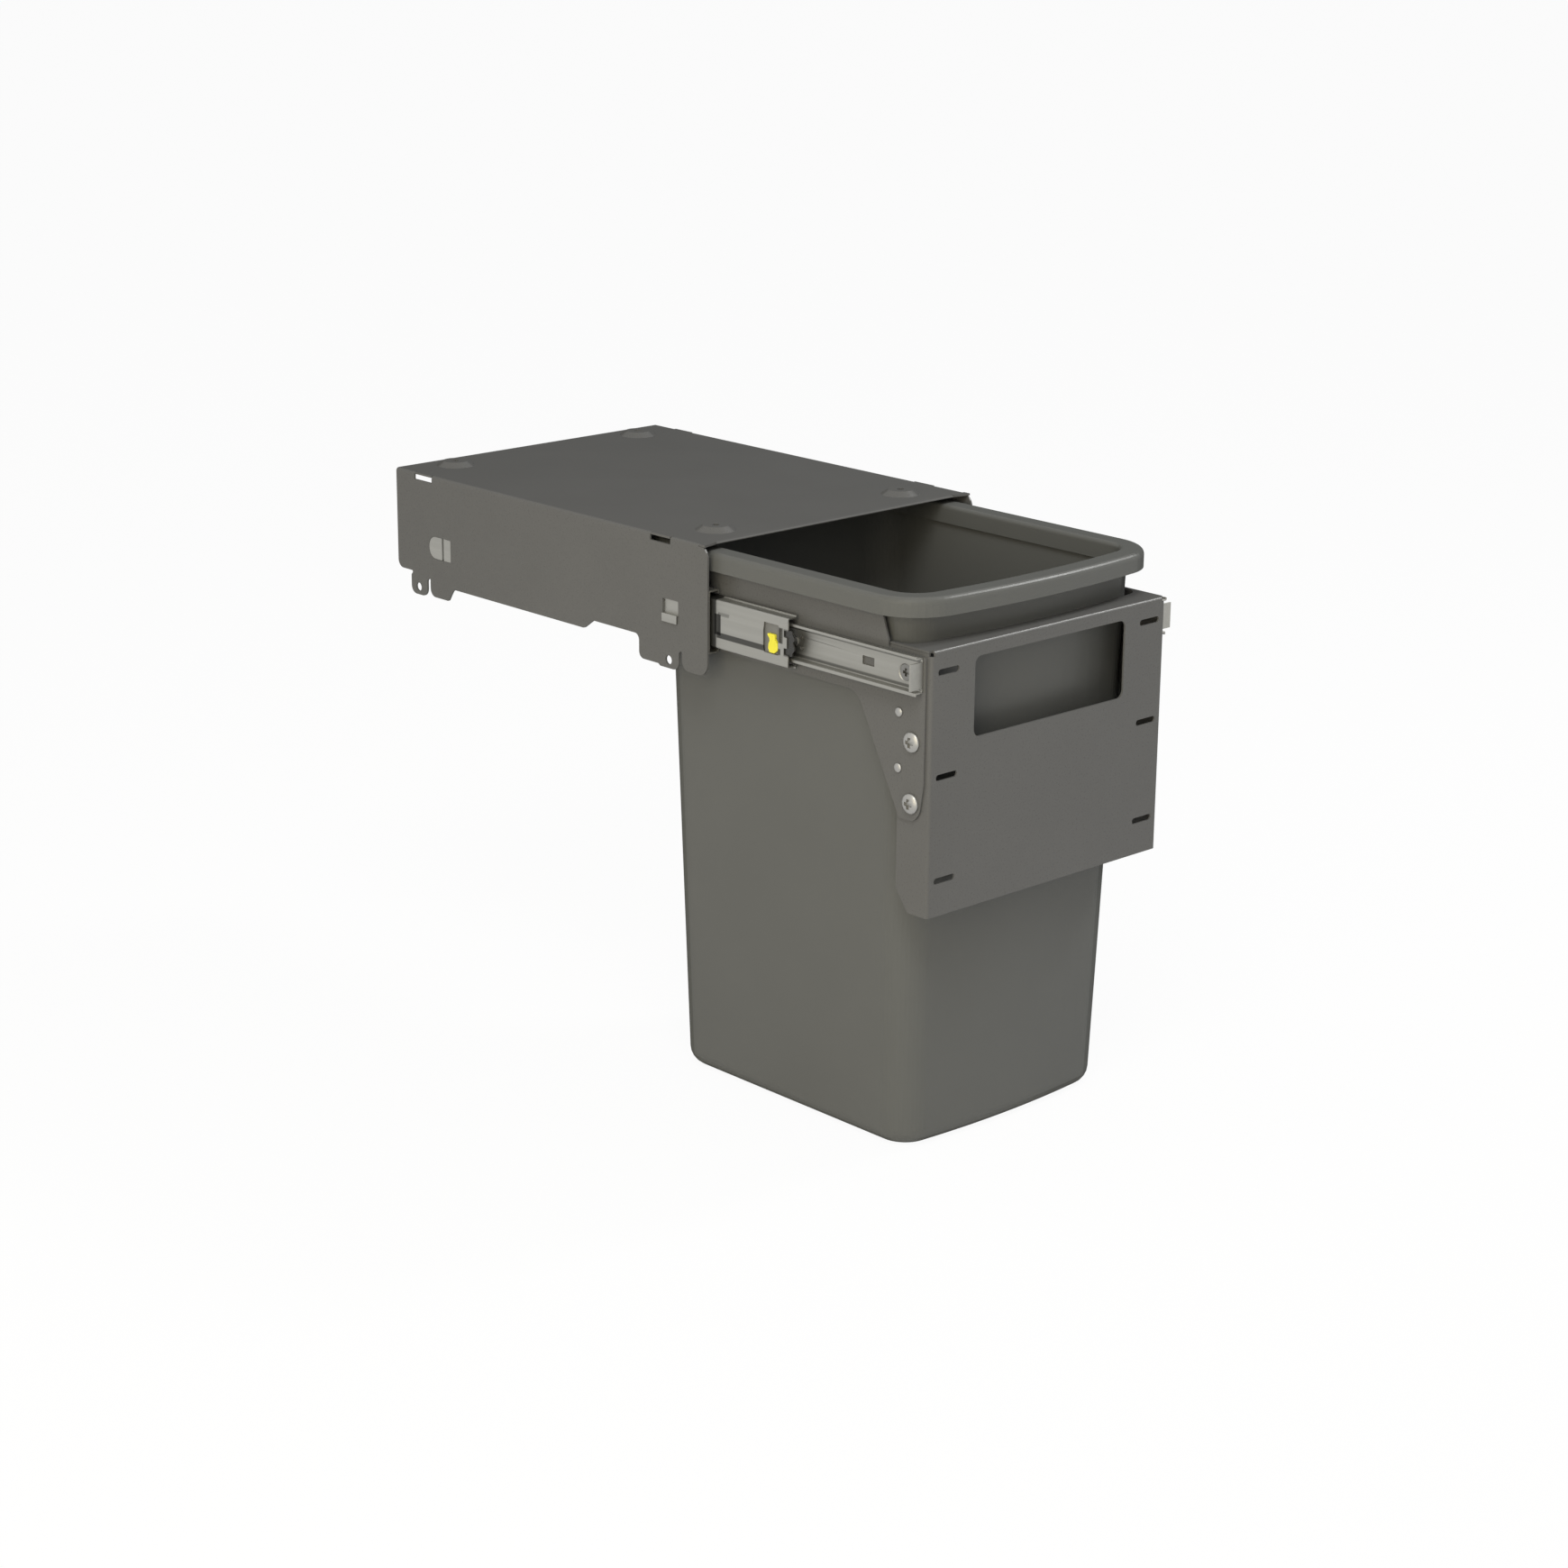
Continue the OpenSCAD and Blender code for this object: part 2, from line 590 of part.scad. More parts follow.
module inner_member() color(steel) pulled() difference() {
    in_slide() {
        along_y(inner_y, inner_y + inner_len)
            shape(lipped(slide_w, inner_reach, inner_h / 2, member_t, inner_lip));
        block([slide_w - end_tab_reach, inner_y, -end_tab_h / 2],
            [slide_w, inner_y + member_t, end_tab_h / 2]);
    }
    in_slide() block([slide_w - member_t - over, inner_y + latch_hole_y, -latch_hole_h / 2],
        [slide_w + over, inner_y + latch_hole_y + latch_hole_len, latch_hole_h / 2]);
    in_slide() for (v = [-1, 1])
        member_hole(inner_y + pair_y, v * pair_pitch / 2)
            cylinder(d = pair_d, h = 2 * over + member_t, $fn = turned);
    in_slide() for (share = member_rivet_shares)
        member_hole(inner_y + inner_len * share, 0)
            cylinder(d = rivet_d + 2 * hole_gap, h = 2 * over + member_t, $fn = turned);
    at_member_screw(plate_x + member_t) sunk_hole();
}
module member_hole(y, v) turned_x(slide_w - member_t - over, y, v) children();

// Carriage

// Side plate, measured back from the bracket's face
tail_set_back = 4;
step_set_back = 39;
slant_run = 5.2;
slant_top_run = 12.4;
slant_low = 37;
slant_mid = 22.2;
tail_w = 22.6;
// The tail's front edge leans back above its foot
tail_lean = 3.2;
tail_lean_up = 27;
tail_foot_run = 8.5;
tail_foot_up = 7;
tail_front_r = 30;
tail_foot_r = 10;
tail_back_r = 4;
tail_slope_w = 41.5;
tail_slope_r = 15;
step_corner_r = 2;
plate_behind = 21;
// The plates step down ahead of the rim's back corners, by this share of those corners' radius
rear_step_share = 1.25;
rear_step_gap = 0.6;
// The crossbar, measured forward from the plates' back end, and how far it stops short of their lower edge
crossbar_set_in = 13;
crossbar_bend = 12;
crossbar_edge = 1.5;
// How far its top stands above the plates, behind the bucket's rim
crossbar_up = 5.6;
crossbar_rivet_back = 5.6;
rivet_head_d = 7;
rivet_head_h = 1;
// Screws and pins of the bracket, measured back and down from the bracket's top front edge
bracket_screw_back = 15.3;
bracket_screw_down = 64.2;
bracket_screw_pitch = 42.6;
pin_back = 27.7;
pin_down = 45.9;
pin_pitch = 38.6;
pin_head_h = 1.8;
pin_stub = 1.2;
screw_head_h = 3.4;
// The front screws of the inner members are countersunk and sit below the member's face
small_sunk = 0.5;
small_recess_h = 1.6;
head_edge_share = 0.3;
recess_len_share = 0.5;
recess_w_share = 0.18;
recess_depth_share = 0.6;
nut_flats_share = 1.65;
nut_h = 3;
screw_tip = 0.6;

// Bucket places that follow the side plates and the bracket
rim_over = 7.7;
rim_seat = 0.2;
bucket_set_back = 3;
rim_half = plate_x + rim_over;
deck_low = rim_seat - plate_top;
rim_top = deck_low + wall;
rim_front = bucket_set_back - bracket_reach;
rim_back = rim_front + bucket_d;
plate_back = rim_back + plate_behind;
inner_top = inner_h / 2 - slide_drop;
rear_step_y = rim_back - rim_corner_r * rear_step_share;
rear_top = rim_top - rim_h - rear_step_gap;
grip = plate_t + bracket_t;
member_grip = member_t + plate_t;

// The side plate as [y, z, radius], from its top front corner round
plate_points = [
    [step_set_back + slant_top_run - bracket_reach, -plate_top],
    [step_set_back + slant_run - bracket_reach, -slant_mid, step_corner_r],
    [step_set_back - bracket_reach, -slant_low, step_corner_r],
    [step_set_back - bracket_reach, inner_top, step_corner_r],
    [tail_set_back - bracket_reach, inner_top, step_corner_r],
    [tail_set_back - bracket_reach, tail_lean_up - tail_drop, tail_front_r],
    [tail_set_back - bracket_reach + tail_lean, tail_foot_up - tail_drop, tail_foot_r],
    [tail_set_back - bracket_reach + tail_foot_run, -tail_drop, tail_foot_r],
    [tail_set_back - bracket_reach + tail_w, -tail_drop, tail_back_r],
    [tail_set_back - bracket_reach + tail_w + tail_slope_w, -plate_low, tail_slope_r],
    [plate_back, -plate_low, step_corner_r], [plate_back, rear_top, step_corner_r],
    [rear_step_y, rear_top, step_corner_r], [rear_step_y, -plate_top, step_corner_r]];

// A fastener on the left side, drawn along +Z out of the plate at depth x
module facing_out(x, y, z) translate([-x, y, z]) rotate([0, -90, 0]) children();
module at_member_screw(x)
    facing_out(x, inner_y + member_screw_y, -slide_drop - member_screw_down) children();
module at_member_rivets(x) for (share = member_rivet_shares)
    facing_out(x, inner_y + inner_len * share, -slide_drop) children();
// One rivet midway between the inner member and the plate's top edge, and one midway to its lower edge
module at_crossbar_rivets(x) for (z = [(rear_top + inner_top) / 2, (inner_top - inner_h - plate_low) / 2])
    facing_out(x, plate_back - crossbar_rivet_back, z) children();
module at_bracket_screws(x) for (i = [0, 1])
    facing_out(x, bracket_screw_back - bracket_reach,
        -bracket_drop - bracket_screw_down - bracket_screw_pitch * i) children();
module at_pins(x) for (i = [0, 1])
    facing_out(x, pin_back - bracket_reach, -bracket_drop - pin_down - pin_pitch * i) children();
module through(d, depth) translate([0, 0, -depth - over])
    cylinder(d = d + 2 * hole_gap, h = depth + 2 * over, $fn = turned);

// A domed head with its flat side at zero
module dome(d, h) rotate_extrude($fn = turned) polygon([[0, 0], [d / 2, 0],
    for (a = [0 : 90 / arc_steps : 90])
        [d / 2 * cos(a), h * (head_edge_share + (1 - head_edge_share) * sin(a))]]);
module cross_recess(head_d, top, depth) for (turn = [0, 90]) rotate(turn) translate([0, 0, top])
    cube([head_d * recess_len_share, head_d * recess_w_share, depth * 2], center = true);
module pan_screw(head_d, head_h, shank_d, len) difference() {
    union() {
        dome(head_d, head_h);
        translate([0, 0, -len])
            cylinder(d = shank_d, h = len + head_h * head_edge_share, $fn = turned);
    }
    cross_recess(head_d, head_h, head_h * recess_depth_share);
}
// A countersunk screw and its hole, both from the face that the screw sits below
sink_h = (small_head_d - member_screw_d) / 2;
module sunk_screw(len) difference() {
    union() {
        translate([0, 0, -small_sunk - sink_h])
            cylinder(d1 = member_screw_d, d2 = small_head_d, h = sink_h, $fn = turned);
        translate([0, 0, -len])
            cylinder(d = member_screw_d, h = len - small_sunk - sink_h / 2, $fn = turned);
    }
    cross_recess(small_head_d, -small_sunk, small_recess_h);
}
module sunk_hole() {
    mouth_d = small_head_d + 2 * (hole_gap + small_sunk + over);
    translate([0, 0, -small_sunk - sink_h])
        cylinder(d1 = member_screw_d + 2 * hole_gap, d2 = mouth_d,
            h = sink_h + small_sunk + over, $fn = turned);
    translate([0, 0, -member_t - grip - over])
        cylinder(d = member_screw_d + 2 * hole_gap, h = member_t + grip + over, $fn = turned);
}
module nut(thread_d) difference() {
    cylinder(d = thread_d * nut_flats_share / cos(30), h = nut_h, $fn = 6);
    translate([0, 0, -over]) cylinder(d = thread_d + 2 * hole_gap, h = nut_h + 2 * over, $fn = turned);
}
module rivet(len) {
    cylinder(d = rivet_head_d, h = rivet_head_h, $fn = turned);
    translate([0, 0, -len]) cylinder(d = rivet_d, h = len, $fn = turned);
    translate([0, 0, -len - rivet_head_h]) cylinder(d = rivet_head_d, h = rivet_head_h, $fn = turned);
}

module side_plate() color(painted) pulled() difference() {
    along_x(-plate_x, -flange_x) shape(plate_points);
    at_member_screw(plate_x + member_t) sunk_hole();
    at_member_rivets(plate_x) through(rivet_d, plate_t);
    at_crossbar_rivets(plate_x) through(rivet_d, plate_t);
    at_bracket_screws(plate_x) through(screw_d, plate_t);
    at_pins(plate_x) through(rivet_d, plate_t);
}

module rear_crossbar() color(painted) pulled() difference() {
    crossbar_h = rear_top + crossbar_up + plate_low - crossbar_edge;
    translate([0, 0, crossbar_edge - plate_low]) linear_extrude(crossbar_h) shape([
        [-flange_x, plate_back - crossbar_set_in, plate_t + fold_r],
        [flange_x, plate_back - crossbar_set_in, plate_t + fold_r],
        [flange_x, plate_back - crossbar_set_in + crossbar_bend],
        [flange_x - plate_t, plate_back - crossbar_set_in + crossbar_bend],
        [flange_x - plate_t, plate_back - crossbar_set_in + plate_t, fold_r],
        [plate_t - flange_x, plate_back - crossbar_set_in + plate_t, fold_r],
        [plate_t - flange_x, plate_back - crossbar_set_in + crossbar_bend],
        [-flange_x, plate_back - crossbar_set_in + crossbar_bend]]);
    both_sides() at_crossbar_rivets(flange_x) through(rivet_d, plate_t);
}
module crossbar_rivets() color(steel) pulled() both_sides() at_crossbar_rivets(plate_x) rivet(2 * plate_t);
module member_rivets() color(steel) pulled() both_sides()
    at_member_rivets(plate_x + member_t) rivet(member_grip);
module member_screws() color(steel) pulled() both_sides() at_member_screw(plate_x + member_t)
    sunk_screw(member_t + grip + nut_h + screw_tip);
module member_nuts() color(steel) pulled() both_sides()
    at_member_screw(flange_x - bracket_t - nut_h) nut(member_screw_d);
module bracket_screws() color(steel) pulled() both_sides() at_bracket_screws(plate_x)
    pan_screw(screw_head_d, screw_head_h, screw_d, grip + nut_h + screw_tip);
module bracket_nuts() color(steel) pulled() both_sides()
    at_bracket_screws(flange_x - bracket_t - nut_h) nut(screw_d);
module locating_pins() color(steel) pulled() both_sides() at_pins(plate_x) {
    dome(pin_head_d, pin_head_h);
    translate([0, 0, -grip - pin_stub])
        cylinder(d = rivet_d, h = grip + pin_stub + pin_head_h * head_edge_share, $fn = turned);
}

// Door bracket

top_flange_d = 38.6;
flange_chamfer_w = 11.4;
flange_chamfer_h = 15.4;
corner_relief = 0.6;
// The top corners are cut away where the three folds meet
corner_cut_h = 3.6;
// The side flanges are as deep as the top flange down to here, behind the side plates
deep_flange_h = 96.4;
deep_flange_slope = 12;
bracket_fold_r = bracket_t + fold_r;
// The top flange is cut out round the bucket, with tighter corners than the bucket's
cut_gap = 1.2;
cut_corner_r = 12;

function cut_plan(p) = [p[0], p[1], p[2], cut_corner_r, p[4]];
// The bracket bent in plan: its face and two side flanges
module bracket_plan() shape([
    [-flange_x, -bracket_reach, bracket_fold_r], [flange_x, -bracket_reach, bracket_fold_r],
    [flange_x, top_flange_d - bracket_reach], [flange_x - bracket_t, top_flange_d - bracket_reach],
    [flange_x - bracket_t, bracket_t - bracket_reach, fold_r],
    [bracket_t - flange_x, bracket_t - bracket_reach, fold_r],
    [bracket_t - flange_x, top_flange_d - bracket_reach], [-flange_x, top_flange_d - bracket_reach]]);
module bracket_side() shape([
    [-bracket_reach - over, -bracket_drop], [-bracket_reach - over, -bracket_drop - bracket_h],
    [bracket_d - bracket_reach - flange_chamfer_w, -bracket_drop - bracket_h, step_corner_r],
    [bracket_d - bracket_reach, flange_chamfer_h - bracket_drop - bracket_h, step_corner_r],
    [bracket_d - bracket_reach, -bracket_drop - deep_flange_h - deep_flange_slope, step_corner_r],
    [top_flange_d - bracket_reach, -bracket_drop - deep_flange_h, step_corner_r],
    [top_flange_d - bracket_reach, -bracket_drop]]);
module bracket_top() shape([
    [-bracket_reach, -bracket_drop, bracket_fold_r], [top_flange_d - bracket_reach, -bracket_drop],
    [top_flange_d - bracket_reach, -bracket_drop - bracket_t],
    [bracket_t - bracket_reach, -bracket_drop - bracket_t, fold_r],
    [bracket_t - bracket_reach, -bracket_drop - 2 * bracket_fold_r],
    [-bracket_reach, -bracket_drop - 2 * bracket_fold_r]]);
module slot_shape(len, w) {
    square([len - w, w], center = true);
    for (x = [-1, 1]) translate([x * (len - w) / 2, 0]) circle(d = w, $fn = turned);
}
module door_bracket() color(painted) pulled() difference() {
    union() {
        intersection() {
            translate([0, 0, -bracket_drop - bracket_h])
                linear_extrude(bracket_h - bracket_t - seat_gap) bracket_plan();
            along_x(-half_w, half_w) bracket_side();
        }
        along_x(bracket_fold_r + corner_relief - flange_x, flange_x - bracket_fold_r - corner_relief)
            bracket_top();
        both_sides() translate([0, bracket_fold_r + corner_relief - bracket_reach, 0])
            block([flange_x - 2 * bracket_fold_r, 0, -bracket_drop - bracket_t],
                [flange_x, top_flange_d - bracket_fold_r - corner_relief, -bracket_drop]);
    }
    translate([0, 0, -bracket_drop - bracket_t - over]) linear_extrude(bracket_t + 2 * over)
        polygon(plan_points(cut_plan(body_plan(-bracket_drop, -cut_gap))));
    along_y(-bracket_reach - over, bracket_t - bracket_reach + over) {
        shape(box_points(-window_w / 2, window_w / 2, -bracket_drop - window_down - window_h,
            -bracket_drop - window_down, window_r));
        for (x = [-1, 1], i = [0 : 2])
            translate([x * slot_pitch_x / 2, -bracket_drop - slot_down - slot_pitch_z * i])
                slot_shape(slot_len, slot_w);
    }
    both_sides() {
        block([flange_x - bracket_fold_r - corner_relief, -bracket_reach - over,
            -bracket_drop - corner_cut_h],
            [flange_x + over, bracket_fold_r + corner_relief - bracket_reach, over - bracket_drop]);
        at_member_screw(plate_x + member_t) sunk_hole();
        at_bracket_screws(flange_x) through(screw_d, bracket_t);
        at_pins(flange_x) through(rivet_d, bracket_t);
    }
}

// Bucket

// Radii of the rim's top edges
rim_outer_r = 4.3;
rim_inner_r = 3;
body_set_in = 12.5;
rim_step = 0.8;
jog_h = 2;
corner_steps = 12;
bow_steps = 6;
foot_steps = 6;
edge_steps = 5;

body_top = rim_top - rim_h + rim_step / 2;
foot = rim_top - bucket_h;
inner_wall_r = max(foot_r - wall, rim_step);

// A plan is [half width, front, back, corner radius, bow radius], and it is drawn in at its corners and ends
function rim_plan(d) = [rim_half - d, rim_front + d, rim_back - d, rim_corner_r - d, bow_r - d];
function body_plan(z, d) = let (in = body_set_in + d + (body_top - z) * tan(draft))
    [rim_half - in, rim_front + in, rim_back - in, max(body_corner_r - d, rim_step), bow_r];
// Quarter of a plan in +X: from its side round the corner to the middle of the end that lies e away
function quarter(w, e, r, bow) =
    let (rise = sqrt((bow - r) ^ 2 - (w - r) ^ 2), start = atan2(rise, w - r))
    concat([for (i = [0 : corner_steps]) let (a = start * i / corner_steps)
        [w - r + r * cos(a), e - bow + rise + r * sin(a)]],
        [for (i = [1 : bow_steps]) let (a = start + (90 - start) * i / bow_steps)
            [bow * cos(a), e - bow + bow * sin(a)]]);
function reversed(list) = [for (i = [len(list) - 1 : -1 : 0]) list[i]];
function plan_points(p) =
    let (back = quarter(p[0], p[2], p[3], p[4]), front = quarter(p[0], -p[1], p[3], p[4]), n = len(back))
    concat(back, [for (i = [n - 2 : -1 : 0]) [-back[i].x, back[i].y]],
        [for (q = front) [-q.x, -q.y]], [for (i = [n - 2 : -1 : 0]) [front[i].x, -front[i].y]]);

// The bucket's section as pairs of a plan and its height, from under the foot, over the rim and down inside
function foot_rings(z, d, r) = [for (i = [0 : foot_steps]) let (a = 90 * i / foot_steps)
    [body_plan(z + r * (1 - cos(a)), d + r * (1 - sin(a))), z + r * (1 - cos(a))]];
bucket_rings = concat(
    foot_rings(foot, 0, foot_r),
    [[body_plan(body_top, 0), body_top], [rim_plan(rim_w - wall), body_top + jog_h],
        [rim_plan(rim_w - wall), deck_low], [rim_plan(wall), deck_low],
        [rim_plan(wall), rim_top - rim_h], [rim_plan(0), rim_top - rim_h]],
    [for (i = [0 : edge_steps]) let (a = 90 * i / edge_steps)
        [rim_plan(rim_outer_r * (1 - cos(a))), rim_top - rim_outer_r * (1 - sin(a))]],
    [for (i = [0 : edge_steps]) let (a = 90 * i / edge_steps)
        [rim_plan(rim_w - rim_inner_r * (1 - sin(a))), rim_top - rim_inner_r * (1 - cos(a))]],
    [[rim_plan(rim_w), body_top - rim_step], [body_plan(body_top - rim_step, wall), body_top - rim_step]],
    reversed(foot_rings(foot + wall, wall, inner_wall_r)));
ring_size = len(plan_points(rim_plan(0)));

module bucket() color(plastic) pulled() polyhedron(
    flat([for (ring = bucket_rings) [for (p = plan_points(ring[0])) [p.x, p.y, ring[1]]]]),
    concat([[for (j = [0 : ring_size - 1]) j]],
        [for (i = [0 : len(bucket_rings) - 2], j = [0 : ring_size - 1])
            let (a = i * ring_size + j, b = i * ring_size + (j + 1) % ring_size)
            [a, a + ring_size, b + ring_size, b]],
        [[for (j = [ring_size - 1 : -1 : 0]) (len(bucket_rings) - 1) * ring_size + j]]), convexity = 6);

module right() mirror([1, 0, 0]) children();

hung() housing_cover();
hung() outer_member();  // outer_member_left
hung() right() outer_member();  // outer_member_right
hung() rear_bumper();  // rear_bumper_left
hung() right() rear_bumper();  // rear_bumper_right
hung() outer_cage();  // outer_cage_left
hung() right() outer_cage();  // outer_cage_right
hung() outer_balls();  // outer_balls_left
hung() right() outer_balls();  // outer_balls_right
hung() middle_member();  // middle_member_left
hung() right() middle_member();  // middle_member_right
hung() latch_block();  // latch_block_left
hung() right() latch_block();  // latch_block_right
hung() front_guide();  // front_guide_left
hung() right() front_guide();  // front_guide_right
hung() release_lever();  // release_lever_left
hung() right() release_lever();  // release_lever_right
hung() lever_pin();  // lever_pin_left
hung() right() lever_pin();  // lever_pin_right
hung() inner_cage();  // inner_cage_left
hung() right() inner_cage();  // inner_cage_right
hung() inner_balls();  // inner_balls_left
hung() right() inner_balls();  // inner_balls_right
hung() inner_member();  // inner_member_left
hung() right() inner_member();  // inner_member_right
hung() side_plate();  // side_plate_left
hung() right() side_plate();  // side_plate_right
hung() rear_crossbar();
hung() crossbar_rivets();
hung() member_rivets();
hung() member_screws();
hung() member_nuts();
hung() door_bracket();
hung() bracket_screws();
hung() bracket_nuts();
hung() locating_pins();
hung() bucket();
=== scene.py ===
"""Dresses the pull out trash cabinet: powder coated sheet, zinc plated slides, moulded plastic bucket."""

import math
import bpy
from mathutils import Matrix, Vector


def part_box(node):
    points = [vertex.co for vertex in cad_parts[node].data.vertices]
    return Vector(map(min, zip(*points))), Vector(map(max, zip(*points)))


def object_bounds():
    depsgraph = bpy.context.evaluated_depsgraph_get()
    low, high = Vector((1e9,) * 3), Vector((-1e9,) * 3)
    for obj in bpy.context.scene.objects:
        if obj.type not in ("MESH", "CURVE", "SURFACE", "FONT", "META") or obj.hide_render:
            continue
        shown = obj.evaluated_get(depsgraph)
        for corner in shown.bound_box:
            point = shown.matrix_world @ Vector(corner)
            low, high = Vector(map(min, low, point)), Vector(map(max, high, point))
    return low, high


bl_info = {
    "name": "Pull Out Trash Cabinet",
    "version": (1, 0, 0),
    "blender": (4, 5, 0),
    "location": "View3D > Sidebar > Trash Cabinet",
    "description": "Gives a pull out trash cabinet its finishes and lights it in a plain studio",
    "category": "Object",
}

import bpy
from mathutils import Matrix, Vector

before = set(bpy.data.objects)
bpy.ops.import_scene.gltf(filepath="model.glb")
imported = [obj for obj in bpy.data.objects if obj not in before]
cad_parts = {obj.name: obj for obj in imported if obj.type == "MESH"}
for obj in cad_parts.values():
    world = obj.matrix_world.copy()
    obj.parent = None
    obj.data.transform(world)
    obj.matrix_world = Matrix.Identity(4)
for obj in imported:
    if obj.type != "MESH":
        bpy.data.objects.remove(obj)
cad_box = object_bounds()

MM = 0.001
SIDES = ("left", "right")
NOISE_LOW, NOISE_HIGH = 0.3, 0.7  # nearly all of a noise's values lie between these
SAME_POINT = 0.002 * MM  # corners of CAD faces that stand closer than this are one corner
SHARP = math.radians(40)  # an edge that turns by more than this is a cut or folded edge
BOTH_SLIDES = 1.0  # metre, wide enough to hold the left and the right slide
LINE_STRETCH = 50  # how many times as long as wide the rolled lines are
SENSOR_MM = 36
GRAIN = 0.5 * MM  # of the small mouldings
HARDWARE_EDGE = 0.12 * MM


def sides(*stems):
    """Names of the left and right node of each stem."""
    return [f"{stem}_{side}" for stem in stems for side in SIDES]


def linear(hex_colour, alpha=None):
    """An sRGB hex colour as the linear values that shaders use."""
    parts = [int(hex_colour[i : i + 2], 16) / 255 for i in (1, 3, 5)]
    values = [c / 12.92 if c <= 0.04045 else ((c + 0.055) / 1.055) ** 2.4 for c in parts]
    return (*values, alpha) if alpha is not None else tuple(values)


def colour(name, description, hex_colour):
    return bpy.props.FloatVectorProperty(
        name=name,
        description=description,
        default=linear(hex_colour),
        min=0,
        max=1,
        size=3,
        subtype="COLOR",
    )


def length(name, description, millimetres):
    return bpy.props.FloatProperty(
        name=name,
        description=description,
        default=millimetres * MM,
        min=0,
        unit="LENGTH",
        subtype="DISTANCE",
    )


def angle(name, description, degrees):
    return bpy.props.FloatProperty(
        name=name,
        description=description,
        default=math.radians(degrees),
        unit="ROTATION",
        subtype="ANGLE",
    )


def power(name, description, watts):
    return bpy.props.FloatProperty(
        name=name,
        description=description,
        default=watts,
        min=0,
        unit="POWER",
        subtype="POWER",
    )


# Nodes and materials


def add_node(tree, kind, inputs=None, **settings):
    """Adds a shader node, sets its properties, and fills or links its inputs."""
    made = tree.nodes.new(kind)
    for name, value in settings.items():
        setattr(made, name, value)
    for socket, value in (inputs or {}).items():
        if isinstance(value, bpy.types.NodeSocket):
            tree.links.new(value, made.inputs[socket])
        else:
            made.inputs[socket].default_value = value
    return made


def new_material(name):
    """A node material without nodes but for the object's own coordinates, which are metres of the frame."""
    made = bpy.data.materials.new(name)
    made.use_nodes = True
    made.node_tree.nodes.clear()
    place = add_node(made.node_tree, "ShaderNodeTexCoord").outputs["Object"]
    return made, made.node_tree, place


def tone(tree, place, base, spread, grain):
    """A base colour that drifts lighter and darker by spread over patches as wide as grain."""
    cloud = add_node(tree, "ShaderNodeTexNoise", {"Vector": place, "Scale": 1 / grain, "Detail": 2.0})
    ramp = add_node(tree, "ShaderNodeValToRGB", {"Fac": cloud.outputs["Fac"]})
    low, high = ramp.color_ramp.elements
    low.position, high.position = NOISE_LOW, NOISE_HIGH
    low.color = (*[c * (1 - spread) for c in base], 1)
    high.color = (*[min(1, c * (1 + spread)) for c in base], 1)
    return ramp.outputs["Color"]


def grained(tree, vector, grain, detail, rough, depth, strength):
    """Noise as wide as grain that sets both the roughness, over a range, and the bumps, as high as depth."""
    noise = add_node(tree, "ShaderNodeTexNoise", {"Vector": vector, "Scale": 1 / grain, "Detail": detail})
    spread = {"Value": noise.outputs["Fac"], "From Min": NOISE_LOW, "From Max": NOISE_HIGH}
    ranged = add_node(tree, "ShaderNodeMapRange", {**spread, "To Min": rough[0], "To Max": rough[1]})
    height = {"Height": noise.outputs["Fac"], "Distance": depth, "Strength": strength}
    bumps = add_node(tree, "ShaderNodeBump", height)
    return ranged.outputs["Result"], bumps.outputs["Normal"]


def gloss(tree, level):
    """Gloss that a face loses as it turns edge on, as a dusty satin surface does. Facing is 0 on a face seen
    square on and 1 on one seen edge on."""
    facing = add_node(tree, "ShaderNodeLayerWeight", {"Blend": 0.5}).outputs["Facing"]
    fade = {"Value": facing, "From Min": 0.38, "From Max": 0.62, "To Min": level, "To Max": 0.0}
    return add_node(tree, "ShaderNodeMapRange", fade).outputs["Result"]


def powder_coated_steel(look):
    """Powder coat, sprayed as dust on folded sheet and baked. It gives an even satin grey with a fine orange
    peel that breaks up reflections, so flat faces look matt and only the folds catch a line of light."""
    made, tree, place = new_material("powder_coated_steel")
    rough, normal = grained(
        tree, place, grain=look.peel, detail=3.0, rough=(0.26, 0.32), depth=look.peel * 0.004, strength=0.5
    )
    shader = add_node(
        tree,
        "ShaderNodeBsdfPrincipled",
        {
            "Base Color": tone(tree, place, look.paint, spread=0.02, grain=look.drift),
            "Roughness": rough,
            "Specular IOR Level": gloss(tree, level=0.17),
            "Normal": normal,
        },
    )
    add_node(tree, "ShaderNodeOutputMaterial", {"Surface": shader.outputs[0]})
    return made


def moulded_polypropylene(look):
    """Polypropylene moulded in a lightly etched tool. It gives a soft matt grey close to the paint's, and a
    dull sheen that runs along the rolled rim. Its grain is drawn coarser than the real one, to show."""
    made, tree, place = new_material("moulded_polypropylene")
    rough, normal = grained(
        tree, place, grain=look.grain, detail=2.0, rough=(0.33, 0.4), depth=look.grain * 0.004, strength=0.5
    )
    shader = add_node(
        tree,
        "ShaderNodeBsdfPrincipled",
        {
            "Base Color": tone(tree, place, look.bucket, spread=0.02, grain=look.drift),
            "Roughness": rough,
            "Specular IOR Level": gloss(tree, level=0.15),
            "Normal": normal,
        },
    )
    add_node(tree, "ShaderNodeOutputMaterial", {"Surface": shader.outputs[0]})
    return made


